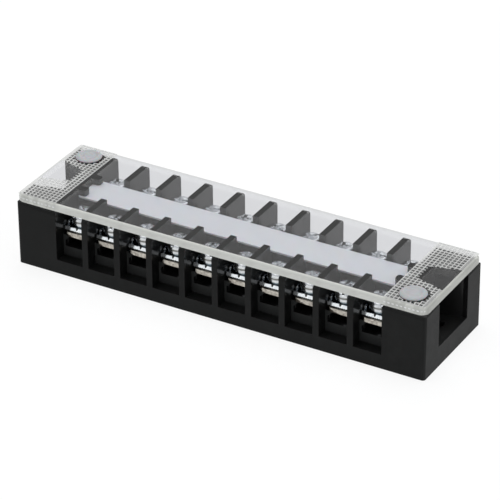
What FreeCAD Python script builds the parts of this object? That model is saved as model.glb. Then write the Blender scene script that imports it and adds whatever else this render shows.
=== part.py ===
import FreeCAD, Part
import math
import os

# Barrier terminal strip, ten positions, two rows of screws, clear cover.
# Millimetres. The origin is the middle of the underside: X runs along the
# strip, Y from the front face to the back face, Z up.
# Depths are measured inwards from the front face. The rear row is the front
# row turned half a turn about Z.

# Housing
positions = 10
pitch = 11.0
barrier_thickness = 2.0
end_block_length = 13.6
base_width = 35.2
base_height = 20.9
corner_radius = 1.0
top_edge_radius = 1.5
end_edge_radius = 0.8

# One terminal's place, from the front face back to the middle rib, with the
# wire entry in front of it
row_depth = 12.6
sill_height = 4.6
ledge_depth = 3.9
seat_height = 11.5
window_floor = 7.7
window_cheek = 0.7
window_corner = 1.9
window_wall = 1.2
pocket_side_wall = 0.9
pocket_back_margin = 0.9

# Terminal plate
plate_thickness = 1.5
plate_side_gap = 0.15
plate_overhang = 0.6
plate_corner_x = 1.6
plate_corner_y = 1.3
plate_channel_gap = 0.2
boss_radius = 2.9
boss_height = 1.3

# Terminal screw
screw_inset = 8.3
shank_radius = 1.95
shank_length = 5.6
shank_point = 0.6
thread_gap = 0.05
head_radius = 3.5
head_height = 2.8
head_edge_radius = 1.3
recess_width = 1.0
recess_span = 4.4
recess_depth = 1.6
slot_width_in_head = 0.8
slot_depth_in_head = 0.7

# Clamp plate with turned-up sides, and the spring washer on it
clamp_thickness = 0.9
clamp_depth = 8.2
clamp_side_gap = 0.2
clamp_wing_height = 2.0
clamp_wing_thickness = 0.7
clamp_wing_corner = 0.9
clamp_bore_gap = 0.1
washer_thickness = 0.8
washer_radius = 3.1
washer_bore_gap = 0.1
washer_split = 0.6

# Label strip in the channel between the rows
strip_thickness = 0.6
strip_recess = 2.5
strip_side_gap = 0.8
strip_overhang = 0.5
strip_end_gap = 0.3
strip_corner_radius = 0.4
finger_reach = 2.7
finger_width = 2.6
finger_inset = 1.7
finger_corner_radius = 0.8
finger_gap = 0.05

# Mounting notch in each end
notch_wall = 1.5
notch_half_width = 9.0
notch_depth = 9.6
notch_taper_deg = 16.0
notch_floor = 6.6
fixing_hole_radius = 2.25
fixing_recess_width = 7.7
fixing_recess_length = 5.5
fixing_recess_depth = 1.5
fixing_recess_corner = 0.8

# Cover and its two push rivets
cover_thickness = 2.55
cover_corner_radius = 2.5
cover_top_round = 0.9
cover_bottom_round = 0.4
rivet_end_inset = 6.9
rivet_side_inset = 5.9
rivet_head_radius = 4.0
rivet_head_height = 0.8
rivet_head_edge = 0.35
rivet_dish_radius = 1.9
rivet_dish_depth = 0.25
rivet_shank_radius = 2.25
rivet_shank_depth = 7.5
rivet_point = 0.5
rivet_split = 0.7
rivet_split_margin = 1.0
rivet_cover_gap = 0.05
rivet_base_gap = 0.1
rivet_hole_spare = 1.0

# Worked out from the sizes above
over = 1.0
slot_width = pitch - barrier_thickness
field_length = positions * pitch - barrier_thickness
base_length = field_length + 2 * end_block_length
half_length = base_length / 2
half_field = field_length / 2
half_width = base_width / 2
deck_height = base_height - strip_recess
rib_half_width = half_width - row_depth
strip_half_width = rib_half_width + strip_overhang
channel_half_width = strip_half_width + strip_side_gap
finger_y = strip_half_width - finger_inset
plate_top = seat_height + plate_thickness
clamp_top = plate_top + clamp_thickness
head_bottom = clamp_top + washer_thickness
fixing_x = half_length - notch_depth + fixing_recess_length / 2
rivet_x = half_length - rivet_end_inset
rivet_y = half_width - rivet_side_inset
cover_top = base_height + cover_thickness


def vec(x, y, z):
    return FreeCAD.Vector(x, y, z)


def prism(points, along):
    """Closed outline of straight edges, pulled along a vector."""
    outline = Part.makePolygon([vec(*p) for p in points] + [vec(*points[0])])
    return Part.Face(outline).extrude(vec(*along))


def block(x_range, y_range, z_range):
    size = [b - a for a, b in (x_range, y_range, z_range)]
    return Part.makeBox(*size, vec(x_range[0], y_range[0], z_range[0]))


def post(radius, x, y, z_low, z_high):
    return Part.makeCylinder(radius, z_high - z_low, vec(x, y, z_low))


def rounded_block(x_range, y_range, z_range, radius, keep=None):
    """Block with its upright edges rounded, all or those that keep() picks."""
    solid = block(x_range, y_range, z_range)
    upright = []
    for edge in solid.Edges:
        a, b = [v.Point for v in edge.Vertexes]
        if abs(a.z - b.z) > 1e-6 and (keep is None or keep(a)):
            upright.append(edge)
    return solid.makeFillet(radius, upright)


def turned(profile, x, y):
    """Solid of revolution about the upright line through x, y."""
    points = [vec(r, 0, z) for r, z in profile]
    face = Part.Face(Part.makePolygon(points + [points[0]]))
    solid = face.revolve(vec(0, 0, 0), vec(0, 0, 1), 360)
    solid.translate(vec(x, y, 0))
    return solid


def half_turn(shape):
    other = shape.copy()
    other.rotate(vec(0, 0, 0), vec(0, 0, 1), 180)
    return other


def position_x(index):
    return (index - (positions - 1) / 2) * pitch


def y_at(depth):
    """Y of a point this deep behind the front face."""
    return depth - half_width


# Housing, one black moulding


def arched_block(half, radius, reach):
    """Block along X, half wide to each side, with its long top edges rounded."""
    top = base_height
    low = top - radius
    inner = half - radius
    bow = radius * math.sqrt(0.5)
    left_arc = Part.Arc(vec(-reach, -half, low), vec(-reach, -inner - bow, low + bow),
                        vec(-reach, -inner, top)).toShape()
    right_arc = Part.Arc(vec(-reach, inner, top), vec(-reach, inner + bow, low + bow),
                         vec(-reach, half, low)).toShape()
    wire = Part.Wire([
        left_arc,
        Part.makeLine(vec(-reach, -inner, top), vec(-reach, inner, top)),
        right_arc,
        Part.makeLine(vec(-reach, half, low), vec(-reach, half, 0)),
        Part.makeLine(vec(-reach, half, 0), vec(-reach, -half, 0)),
        Part.makeLine(vec(-reach, -half, 0), vec(-reach, -half, low)),
    ])
    return Part.Face(wire).extrude(vec(2 * reach, 0, 0))


def housing_block():
    """Block with rounded upright corners and rounded top edges."""
    plan = rounded_block((-half_length, half_length), (-half_width, half_width),
                         (0, base_height), corner_radius)
    lengthwise = arched_block(half_width, top_edge_radius, half_length)
    crosswise = arched_block(half_length, end_edge_radius, half_width)
    crosswise.rotate(vec(0, 0, 0), vec(0, 0, 1), 90)
    return plan.common(lengthwise).common(crosswise)


def wire_slot(x):
    """Space between two barriers: the ledge, the step and the screw's room."""
    x_low = x - slot_width / 2
    outline = [
        (x_low, y_at(-over), sill_height),
        (x_low, y_at(ledge_depth), sill_height),
        (x_low, y_at(ledge_depth), seat_height),
        (x_low, y_at(row_depth), seat_height),
        (x_low, y_at(row_depth), base_height + over),
        (x_low, y_at(-over), base_height + over),
    ]
    return prism(outline, (slot_width, 0, 0))


def pocket(x):
    """Hollow under the plate for its thread boss, with a window to the front."""
    half = slot_width / 2 - pocket_side_wall
    back = screw_inset + boss_radius + pocket_back_margin
    hollow = block((x - half, x + half), (y_at(ledge_depth + window_wall), y_at(back)),
                   (window_floor, seat_height))
    wide = slot_width / 2 - window_cheek
    narrow = wide - window_corner
    y_out = y_at(ledge_depth - over)
    shoulder = seat_height - window_corner
    window = prism([
        (x - wide, y_out, window_floor),
        (x + wide, y_out, window_floor),
        (x + wide, y_out, shoulder),
        (x + narrow, y_out, seat_height),
        (x - narrow, y_out, seat_height),
        (x - wide, y_out, shoulder),
    ], (0, window_wall + over, 0))
    return hollow.fuse(window)


def plate_channel(x):
    """Way for the terminal plate under the middle rib."""
    half = slot_width / 2
    return block((x - half, x + half), (-rib_half_width, rib_half_width),
                 (seat_height, plate_top + plate_channel_gap))


def label_channel():
    return block((-half_field, half_field), (-channel_half_width, channel_half_width),
                 (deck_height, base_height + over))


def finger(y):
    """Rounded finger on the left end wall that holds the label strip down."""
    low = deck_height + strip_thickness + finger_gap
    tip = -half_field + finger_reach
    root = -half_field - over
    return rounded_block((root, tip), (y - finger_width / 2, y + finger_width / 2),
                         (low, base_height), finger_corner_radius,
                         keep=lambda p: p.x > -half_field)


def end_notch():
    """Notch in the right end, open upwards and outwards, narrower inwards."""
    outer = half_length - notch_wall
    inner = half_length - notch_depth
    inner_half = notch_half_width - (outer - inner) * math.tan(math.radians(notch_taper_deg))
    height = base_height + over - notch_floor
    return prism([
        (half_length + over, -notch_half_width, notch_floor),
        (half_length + over, notch_half_width, notch_floor),
        (outer, notch_half_width, notch_floor),
        (inner, inner_half, notch_floor),
        (inner, -inner_half, notch_floor),
        (outer, -notch_half_width, notch_floor),
    ], (0, 0, height))


def fixing_recess():
    """Sunk seat and through hole for one fixing screw, in the right notch."""
    inner = half_length - notch_depth
    half = fixing_recess_width / 2
    seat = rounded_block((inner, inner + fixing_recess_length), (-half, half),
                         (notch_floor - fixing_recess_depth, notch_floor + over),
                         fixing_recess_corner, keep=lambda p: p.x > inner + over)
    hole = post(fixing_hole_radius, fixing_x, 0, -over, notch_floor)
    return seat.fuse(hole)


def housing():
    cuts = [label_channel()]
    for index in range(positions):
        x = position_x(index)
        for half in (wire_slot(x), pocket(x)):
            cuts += [half, half_turn(half)]
        cuts.append(plate_channel(x))
    for shape in (end_notch(), fixing_recess()):
        cuts += [shape, half_turn(shape)]
    hole = post(rivet_shank_radius + rivet_base_gap, rivet_x, -rivet_y,
                base_height - rivet_shank_depth - rivet_hole_spare, base_height + over)
    cuts += [hole, half_turn(hole)]
    solid = housing_block().cut(cuts)
    left = [finger(finger_y), finger(-finger_y)]
    return solid.fuse(left + [half_turn(f) for f in left]).removeSplitter()


# Terminal plate, one for each position


def terminal_plate(x):
    """Plate from the front seat to the rear seat, threaded at both ends."""
    half_x = slot_width / 2 - plate_side_gap
    half_y = half_width - ledge_depth + plate_overhang
    cut_x = half_x - plate_corner_x
    cut_y = half_y - plate_corner_y
    plate = prism([
        (x - cut_x, -half_y, seat_height),
        (x + cut_x, -half_y, seat_height),
        (x + half_x, -cut_y, seat_height),
        (x + half_x, cut_y, seat_height),
        (x + cut_x, half_y, seat_height),
        (x - cut_x, half_y, seat_height),
        (x - half_x, cut_y, seat_height),
        (x - half_x, -cut_y, seat_height),
    ], (0, 0, plate_thickness))
    for y in (y_at(screw_inset), -y_at(screw_inset)):
        plate = plate.fuse(post(boss_radius, x, y, seat_height - boss_height, seat_height))
        bore = post(shank_radius + thread_gap, x, y, seat_height - boss_height - over, plate_top + over)
        plate = plate.cut(bore)
    return plate.removeSplitter()


# Clamp plate and spring washer, captive under the screw's head


def clamp_set(x):
    y = y_at(screw_inset)
    half_x = slot_width / 2 - clamp_side_gap
    half_y = clamp_depth / 2
    inside = half_x - clamp_wing_thickness
    clamp = block((x - half_x, x + half_x), (y - half_y, y + half_y),
                  (plate_top, plate_top + clamp_wing_height))
    trough = block((x - inside, x + inside), (y - half_y - over, y + half_y + over),
                   (clamp_top, clamp_top + clamp_wing_height))
    clamp = clamp.cut(trough)
    wing_top = plate_top + clamp_wing_height
    corners = []
    for edge in clamp.Edges:
        a, b = [v.Point for v in edge.Vertexes]
        if min(a.z, b.z) > wing_top - 1e-6 and abs(a.x - b.x) > 1e-6:
            corners.append(edge)
    clamp = clamp.makeFillet(clamp_wing_corner, corners)
    clamp = clamp.cut(post(shank_radius + clamp_bore_gap, x, y, plate_top - over, clamp_top + over))
    ring = post(washer_radius, x, y, clamp_top, head_bottom)
    ring = ring.cut(post(shank_radius + washer_bore_gap, x, y, clamp_top - over, head_bottom + over))
    slit = block((x, x + washer_radius + over), (y - washer_split / 2, y + washer_split / 2),
                 (clamp_top - over, head_bottom + over))
    slit.rotate(vec(x, y, 0), vec(0, 0, 1), 50)
    return Part.makeCompound([clamp, ring.cut(slit)])


# Terminal screw, pan head with a cross recess and a slot


def terminal_screw(x):
    y = y_at(screw_inset)
    top = head_bottom + head_height
    r = head_edge_radius
    bow = r * math.sqrt(0.5)
    tip = head_bottom - shank_length
    start = vec(0, 0, tip)
    corner = [start, vec(shank_radius - shank_point, 0, tip), vec(shank_radius, 0, tip + shank_point),
              vec(shank_radius, 0, head_bottom), vec(head_radius, 0, head_bottom),
              vec(head_radius, 0, top - r)]
    edges = [Part.makeLine(a, b) for a, b in zip(corner, corner[1:])]
    edges.append(Part.Arc(corner[-1], vec(head_radius - r + bow, 0, top - r + bow),
                          vec(head_radius - r, 0, top)).toShape())
    edges.append(Part.makeLine(vec(head_radius - r, 0, top), vec(0, 0, top)))
    edges.append(Part.makeLine(vec(0, 0, top), start))
    solid = Part.Face(Part.Wire(edges)).revolve(vec(0, 0, 0), vec(0, 0, 1), 360)
    half_span = recess_span / 2
    half = recess_width / 2
    floor = top - recess_depth
    arm = prism([(-half_span, -half, top + over), (half_span, -half, top + over), (half_span, -half, top),
                 (half, -half, floor), (-half, -half, floor), (-half_span, -half, top)], (0, recess_width, 0))
    across = arm.copy()
    across.rotate(vec(0, 0, 0), vec(0, 0, 1), 90)
    slot = block((-head_radius - over, head_radius + over),
                 (-slot_width_in_head / 2, slot_width_in_head / 2), (top - slot_depth_in_head, top + over))
    solid = solid.cut([arm, across, slot])
    solid.translate(vec(x, y, 0))
    return solid


# Label strip, cover and rivets


def label_strip():
    half_x = half_field - strip_end_gap
    return rounded_block((-half_x, half_x), (-strip_half_width, strip_half_width),
                         (deck_height, deck_height + strip_thickness), strip_corner_radius)


def cover():
    plate = rounded_block((-half_length, half_length), (-half_width, half_width),
                          (base_height, cover_top), cover_corner_radius)
    for level, radius in ((cover_top, cover_top_round), (base_height, cover_bottom_round)):
        rim = [e for e in plate.Edges if all(abs(v.Z - level) < 1e-6 for v in e.Vertexes)]
        plate = plate.makeFillet(radius, rim)
    hole = post(rivet_shank_radius + rivet_cover_gap, rivet_x, -rivet_y, base_height - over, cover_top + over)
    return plate.cut([hole, half_turn(hole)])


def push_rivet():
    """Rivet of the right front corner: dished head, split and pointed shank."""
    tip = base_height - rivet_shank_depth
    top = cover_top + rivet_head_height
    solid = turned([
        (0, tip),
        (rivet_shank_radius - rivet_point, tip),
        (rivet_shank_radius, tip + rivet_point),
        (rivet_shank_radius, cover_top),
        (rivet_head_radius, cover_top),
        (rivet_head_radius, top - rivet_head_edge),
        (rivet_head_radius - rivet_head_edge, top),
        (rivet_dish_radius + rivet_dish_depth, top),
        (rivet_dish_radius, top - rivet_dish_depth),
        (0, top - rivet_dish_depth),
    ], rivet_x, -rivet_y)
    reach = rivet_shank_radius + over
    split = block((rivet_x - reach, rivet_x + reach),
                  (-rivet_y - rivet_split / 2, -rivet_y + rivet_split / 2),
                  (tip - over, base_height - rivet_split_margin))
    return solid.cut(split)


def nodes():
    yield "base", housing()
    yield "cover", cover()
    yield "label_strip", label_strip()
    rivet = push_rivet()
    yield "cover_rivet_right_front", rivet
    yield "cover_rivet_left_rear", half_turn(rivet)
    for index in range(positions):
        x = position_x(index)
        tag = "%02d" % (index + 1)
        yield "terminal_plate_" + tag, terminal_plate(x)
        yield "clamp_front_" + tag, clamp_set(x)
        yield "screw_front_" + tag, terminal_screw(x)
        yield "clamp_rear_" + tag, half_turn(clamp_set(-x))
        yield "screw_rear_" + tag, half_turn(terminal_screw(-x))


os.makedirs("parts", exist_ok=True)
for name, shape in nodes():
    shape.exportStep("parts/" + name + ".step")
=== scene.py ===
"""Barrier terminal strip with ten positions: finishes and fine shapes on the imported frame.

Sizes are in millimetres in the sub-assemblies and in metres in effects and finishes.
X runs along the strip, Y from its front face to its back face, Z up from the underside.
"""

import logging
import math
from collections.abc import Callable, Iterable, Sequence
from dataclasses import dataclass, field
from enum import Enum
from itertools import product
from random import Random

import bpy
from mathutils import Matrix, Vector


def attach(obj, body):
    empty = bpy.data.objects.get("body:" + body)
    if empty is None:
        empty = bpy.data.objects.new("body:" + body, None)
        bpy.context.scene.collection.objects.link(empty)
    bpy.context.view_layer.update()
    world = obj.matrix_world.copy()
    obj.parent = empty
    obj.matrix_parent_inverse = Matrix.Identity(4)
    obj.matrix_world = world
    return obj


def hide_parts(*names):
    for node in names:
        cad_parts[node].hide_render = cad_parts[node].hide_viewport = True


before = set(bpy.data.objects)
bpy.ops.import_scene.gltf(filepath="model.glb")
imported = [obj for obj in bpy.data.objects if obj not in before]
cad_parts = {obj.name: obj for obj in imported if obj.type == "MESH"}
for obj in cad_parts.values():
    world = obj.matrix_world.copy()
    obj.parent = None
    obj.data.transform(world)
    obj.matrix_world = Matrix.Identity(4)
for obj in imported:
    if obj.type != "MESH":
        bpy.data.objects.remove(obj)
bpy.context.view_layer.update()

LOG = logging.getLogger("terminal_strip")
MM = 0.001
QUARTER = math.pi / 2
SOFT_EDGE = 0.3 * MM  # width over which a mask fades
BEYOND = 1.0  # how far a cutting tool passes the surface, in millimetres
TURNED = 64  # steps round a turned piece
WELD_REACH = 0.002 * MM
FLAT_ANGLE = math.radians(0.6)
WHITE = (1.0, 1.0, 1.0, 1.0)
Colour = tuple[float, float, float, float]
Spot = tuple[float, float]


class Body(Enum):
    """Moving bodies. Clamps and screws have one at each end of each plate."""

    COVER = "cover"
    CLAMP = "clamp"
    SCREW = "screw"


class Slot(Enum):
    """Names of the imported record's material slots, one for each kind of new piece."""

    COVER = "cover_clear"
    RIVET = "rivet_natural"
    CLAMP = "clamp_metal"
    SCREW = "screw_metal"


class Row(Enum):
    """The two rows of terminals. The rear row is the front row after half a turn."""

    FRONT = "front"
    REAR = "rear"

    @property
    def side(self) -> int:
        """Minus one in front, one at the rear."""
        return -1 if self is Row.FRONT else 1

    @property
    def turn(self) -> float:
        """Angle about Z that brings a front piece to this row."""
        return 0.0 if self is Row.FRONT else math.pi


# Node trees


@dataclass(frozen=True)
class Signal:
    """One output of a node. Sums with it add the nodes that work them out."""

    graph: "Graph"
    socket: bpy.types.NodeSocket

    def __add__(self, other: "Signal | float") -> "Signal":
        """The sum with a signal or number."""
        return self.graph.math("ADD", self, other)

    def __sub__(self, other: "Signal | float") -> "Signal":
        """The difference from a signal or number."""
        return self.graph.math("SUBTRACT", self, other)

    def __rsub__(self, other: float) -> "Signal":
        """A number less this signal."""
        return self.graph.math("SUBTRACT", other, self)

    def __mul__(self, other: "Signal | float") -> "Signal":
        """The product with a signal or number."""
        return self.graph.math("MULTIPLY", self, other)

    def __truediv__(self, other: "Signal | float") -> "Signal":
        """This signal divided by another or by a number."""
        return self.graph.math("DIVIDE", self, other)

    def __abs__(self) -> "Signal":
        """The signal without its sign."""
        return self.graph.math("ABSOLUTE", self)

    def within(self, low: float, high: float, to_low: object = 0.0, to_high: object = 1.0
               ) -> "Signal":
        """The signal brought from the range low to high to another one, clamped."""
        return self.graph.value("ShaderNodeMapRange", "Result", {
            "Value": self, "From Min": low, "From Max": high, "To Min": to_low, "To Max": to_high})


Signals = dict[str, Signal]


@dataclass
class Graph:
    """Adds and joins the nodes of one tree."""

    tree: bpy.types.NodeTree

    def feed(self, socket: bpy.types.NodeSocket, value: object) -> None:
        """Joins a signal to an input, or sets its number or colour.

        Args:
            socket: the input.
            value: what goes in.
        """
        if isinstance(value, Signal):
            self.tree.links.new(value.socket, socket)
        else:
            socket.default_value = value

    def add(self, kind: str, inputs: dict | None = None, **settings: object) -> bpy.types.Node:
        """Adds one node.

        Args:
            kind: the node's type name.
            inputs: input name or index to a value or signal.
            settings: the node's own properties.

        Returns:
            The new node.
        """
        node = self.tree.nodes.new(kind)
        for name, value in settings.items():
            setattr(node, name, value)
        for name, value in (inputs or {}).items():
            self.feed(node.inputs[name], value)
        return node

    def value(self, kind: str, output: str | int, inputs: dict | None = None,
              **settings: object) -> Signal:
        """Adds one node, as add does, and gives the output of this name or index."""
        return Signal(self, self.add(kind, inputs, **settings).outputs[output])

    def math(self, operation: str, *values: object) -> Signal:
        """The result of a Math node with these numbers or signals."""
        return self.value("ShaderNodeMath", 0, dict(enumerate(values)), operation=operation)

    def vector(self, operation: str, output: str, *values: Signal) -> Signal:
        """The result of a Vector Math node with these vectors."""
        return self.value("ShaderNodeVectorMath", output, dict(enumerate(values)),
                          operation=operation)

    def geometry(self, output: str) -> Signal:
        """One output of a Geometry node."""
        return self.value("ShaderNodeNewGeometry", output)

    def axes(self, vector: Signal) -> list[Signal]:
        """X, Y and Z of a vector."""
        return [Signal(self, socket)
                for socket in self.add("ShaderNodeSeparateXYZ", {0: vector}).outputs]

    def where(self, *scale: float) -> Signal:
        """Object coordinates.

        Args:
            scale: factors along X, Y and Z, or none.

        Returns:
            The coordinates, scaled where factors are given.
        """
        place = self.value("ShaderNodeTexCoord", "Object")
        return self.value("ShaderNodeMapping", "Vector",
                          {"Vector": place, "Scale": scale}) if scale else place

    def noise(self, where: Signal, scale: float, detail: float = 2.0, rough: float = 0.5
              ) -> Signal:
        """The value of a Noise Texture, with its features per metre and its octaves."""
        return self.value("ShaderNodeTexNoise", "Fac", {
            "Vector": where, "Scale": scale, "Detail": detail, "Roughness": rough})

    def blend(self, factor: object, first: object, second: object, mode: str = "MIX") -> Signal:
        """Two colours or signals mixed, with this share of the second."""
        return self.value("ShaderNodeMix", 2, {0: factor, 6: first, 7: second},
                          data_type="RGBA", blend_type=mode)

    def bump(self, height: Signal, strength: object, distance: float) -> Signal:
        """The normal bumped by a height, as deep as distance at full strength."""
        return self.value("ShaderNodeBump", "Normal", {
            "Height": height, "Strength": strength, "Distance": distance})


@dataclass(frozen=True)
class Effect:
    """A shader node group with named inputs and outputs, built once for several finishes."""

    name: str
    inputs: dict[str, float | tuple[float, ...]]
    fill: Callable[[Graph, Signals], Signals]

    def group(self) -> bpy.types.NodeTree:
        """Finds the group, or makes it on first use.

        Returns:
            The group.
        """
        tree = bpy.data.node_groups.get(self.name)
        if tree is not None:
            return tree
        tree = bpy.data.node_groups.new(self.name, "ShaderNodeTree")
        graph = Graph(tree)
        for label, value in self.inputs.items():
            kind = {3: "Vector", 4: "Color"}[len(value)] if isinstance(value, tuple) else "Float"
            tree.interface.new_socket(name=label, in_out="INPUT",
                                      socket_type="NodeSocket" + kind).default_value = value
        given = graph.add("NodeGroupInput").outputs
        made = self.fill(graph, {label: Signal(graph, given[label]) for label in self.inputs})
        for label, signal in made.items():
            kind = {"VECTOR": "Vector", "RGBA": "Color"}.get(signal.socket.type, "Float")
            tree.interface.new_socket(name=label, in_out="OUTPUT",
                                      socket_type="NodeSocket" + kind)
        graph.add("NodeGroupOutput", made)
        return tree

    def place(self, graph: Graph, finish: object = None, **values: object) -> Signals:
        """Puts the group in a material. Inputs left out keep the group's own values.

        Args:
            graph: the material's tree.
            finish: gives the inputs that its fields are named after.
            values: inputs given apart from it, also in small letters with underscores.

        Returns:
            The group's outputs by name.
        """
        node = graph.add("ShaderNodeGroup", node_tree=self.group())
        for label in self.inputs:
            name = label.lower().replace(" ", "_")
            value = values.get(name, getattr(finish, name, None))
            if value is not None:
                graph.feed(node.inputs[label], value)
        return {socket.name: Signal(graph, socket) for socket in node.outputs}


def mould_skin(graph: Graph, given: Signals) -> Signals:
    """Skin of moulded plastic: cloudy tone, fine spark-eroded grain and paler worn edges.

    Args:
        graph: the group's tree.
        given: the group's inputs.

    Returns:
        The group's outputs.
    """
    where = graph.where()
    cloud, grain = graph.noise(where, 260, 3), graph.noise(where, 5200, 2, 0.6)
    worn = graph.geometry("Pointiness").within(0.515, 0.60) * cloud.within(0.35, 0.65)
    share = cloud.within(0.3, 0.7) * 0.45 + grain.within(0.35, 0.65) * 0.25
    share = share + worn * given["Wear"]
    height = grain + graph.noise(where, 1900) * 0.7
    return {
        "Tone": graph.blend(share.within(0, 1), given["Dark"], given["Light"]),
        "Roughness": (cloud + grain).within(0.7, 1.3, 0.0, given["Spread"]) + given["Roughness"],
        "Normal": graph.bump(height, given["Grain"], 0.03 * MM)}


def textured_faces(graph: Graph, given: Signals) -> Signals:
    """Tells the textured long sides and outer ends of the moulding from its glossy faces, and finds
    the recessed risers that take a painted light.

    Args:
        graph: the group's tree.
        given: the group's inputs.

    Returns:
        The group's outputs.
    """
    facing_x, facing_y, _ = graph.axes(graph.geometry("Normal"))
    x, y, _ = graph.axes(graph.where())
    sides = abs(facing_y).within(0.55, 0.8) * abs(y).within(12.5 * MM, 13.0 * MM)
    outer = (abs(x) - given["End"]).within(-0.6 * MM, -0.3 * MM)
    ends = graph.math("MINIMUM", abs(facing_x).within(0.55, 0.8), outer)
    # Second mask: the recessed risers under the plates, facing front or back, which take a painted
    # light.
    return {"Textured": graph.math("MAXIMUM", sides, ends),
            "Sunk": sides * abs(y).within(14.5 * MM, 15.5 * MM, 1, 0)}


def drawn_metal(graph: Graph, given: Signals) -> Signals:
    """Plated metal: drawn lines along the stretched axis, cloudy tone, darker and rougher spots,
    and a painted dark reflection on the faces along the flank axes.

    Args:
        graph: the group's tree.
        given: the group's inputs.

    Returns:
        The group's outputs.
    """
    where = graph.where()
    lines = graph.noise(graph.vector("MULTIPLY", "Vector", where, given["Stretch"]), 1, 4, 0.65)
    cloud = graph.noise(where, 700, 3)
    spots = graph.noise(where, 2600).within(0.62, 0.72)
    share = lines.within(0.3, 0.7) * 0.7 + cloud.within(0.3, 0.7) * 0.3
    tone = graph.blend(share, given["Dark"], given["Light"])
    tone = graph.blend(spots * 0.35, tone, given["Dark"])
    # Painted dark reflection: faces along the flank axes, within a band of height and a reach from
    # the middle, are darkened towards the Flank colour and made rougher.
    facing = graph.vector("MULTIPLY", "Vector", graph.geometry("Normal"), given["Flank Axes"])
    flank = graph.vector("LENGTH", "Value", facing).within(0.78, 0.98)
    _, y, z = graph.axes(where)
    height = z - given["Flank Start"]
    for edge in (height, given["Flank Depth"] - height, given["Flank Reach"] - abs(y)):
        flank = flank * edge.within(0, SOFT_EDGE)
    flank = flank * cloud.within(0.3, 0.7, 0.75, 1.0)
    rough = share * given["Spread"] + given["Roughness"] + spots * 0.1
    return {
        "Tone": graph.blend(flank, tone, graph.blend(1.0, tone, given["Flank"], "MULTIPLY")),
        "Roughness": rough + flank * given["Flank Roughness"],
        "Normal": graph.bump(lines, given["Relief"], 0.02 * MM)}


def sheared_end(graph: Graph, given: Signals) -> Signals:
    """Darker, ragged patch at the lower left of each plate end face seen from outside, larger on
    some plates than on others.

    Args:
        graph: the group's tree.
        given: the group's inputs.

    Returns:
        The group's outputs.
    """
    where = graph.where()
    x, y, z = graph.axes(where)
    _, facing, _ = graph.axes(graph.geometry("Normal"))
    place = x / given["Pitch"]
    across = (graph.math("FRACT", place) - 0.5) * graph.math("SIGN", y)
    own = graph.value("ShaderNodeTexWhiteNoise", "Value", {"W": graph.math("FLOOR", place)},
                      noise_dimensions="1D")
    share = (0.39 - across) * 3.4 - own.within(0, 1, 0.75, 1.5)
    share = share + (z - given["Low"]) / given["Thickness"]
    ragged = graph.noise(where, 420) + graph.noise(where, 2400)
    share = share + ragged.within(0.7, 1.3, -0.25, 0.25)
    return {"Dull": share.within(-0.1, 0.1, 1, 0) * abs(facing).within(0.6, 0.8)}


def handling_marks(graph: Graph, given: Signals) -> Signals:
    """Marks of handling on smooth plastic: hair scratches, a light haze and a slow waviness.

    Args:
        graph: the group's tree.
        given: the group's inputs.

    Returns:
        The group's outputs.
    """
    haze = graph.noise(graph.where(), 120, 3).within(0.3, 0.75)
    hairs = [graph.noise(graph.where(*scale), 1).within(0.66, 0.74)
             for scale in ((260, 5200, 300), (4300, 420, 300))]
    hair = graph.math("MAXIMUM", *hairs) * given["Hairs"]
    wave = graph.noise(graph.where(), 45, 1)
    return {"Roughness": given["Roughness"] + haze * given["Haze"] + hair * 0.25,
            "Marks": hair,
            "Normal": graph.bump(wave - hair * 0.05, given["Waviness"], 0.05 * MM)}


def knurl_glints(graph: Graph, given: Signals) -> Signals:
    """Row of short painted glints standing for those the knurled ribs throw on the sheet's rim, and
    painted shade at its ends.

    Args:
        graph: the group's tree.
        given: the group's inputs.

    Returns:
        The group's outputs.
    """
    where = graph.where()
    x, y, z = graph.axes(where)
    ends = (abs(x) - given["Start"]).within(-0.4 * MM, 0.4 * MM)
    shade = (abs(x) - given["End"]).within(-1.2 * MM, -0.2 * MM)
    phase = graph.math("FRACT", (x + y) / given["Pitch"])
    dash = abs(phase - 0.5).within(0.22, 0.34, 1, 0)
    band = abs(z - given["Height"]).within(0.12 * MM, SOFT_EDGE, 1, 0)
    blur = graph.noise(where, 900).within(0.35, 0.6, 0.45, 1.0)
    # Painted shade in soft blocks near the ends.
    blocks = graph.noise(graph.where(420, 420, 0), 1, 1).within(0.42, 0.55) * (ends * 0.4)
    return {"Glint": dash * band * ends * (1.0 - shade) * blur,
            "Shade": graph.math("MAXIMUM", shade, blocks)}


MOULD_SKIN = Effect("mould_skin", {
    "Dark": (0.01, 0.01, 0.01, 1), "Light": (0.03, 0.03, 0.03, 1), "Roughness": 0.4,
    "Spread": 0.1, "Grain": 0.2, "Wear": 0.5}, mould_skin)
TEXTURED_FACES = Effect("textured_faces", {"End": 67.6 * MM}, textured_faces)
# Flank: colour of the painted dark reflection that darkens the flanks.
DRAWN_METAL = Effect("drawn_metal", {
    "Dark": (0.5, 0.5, 0.5, 1), "Light": (0.8, 0.8, 0.8, 1), "Stretch": (1, 1, 1),
    "Roughness": 0.2, "Spread": 0.1, "Relief": 0.1, "Flank": WHITE, "Flank Axes": (1, 1, 0),
    "Flank Roughness": 0.0, "Flank Start": 0.0, "Flank Reach": 1.0, "Flank Depth": 1.0},
    drawn_metal)
DARKER_PLATE_CORNER = Effect("sheared_end", {
    "Pitch": 11.0 * MM, "Low": 11.5 * MM, "Thickness": 1.5 * MM}, sheared_end)
HANDLING = Effect("handling_marks", {
    "Roughness": 0.03, "Haze": 0.05, "Hairs": 1.0, "Waviness": 0.2}, handling_marks)
# Where the rim's painted glints and painted shade fall.
KNURL_GLINTS = Effect("knurl_glints", {
    "Start": 54.0 * MM, "Pitch": 1.3 * MM, "End": 67.6 * MM, "Height": 22.25 * MM},
    knurl_glints)


# Finishes


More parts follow.
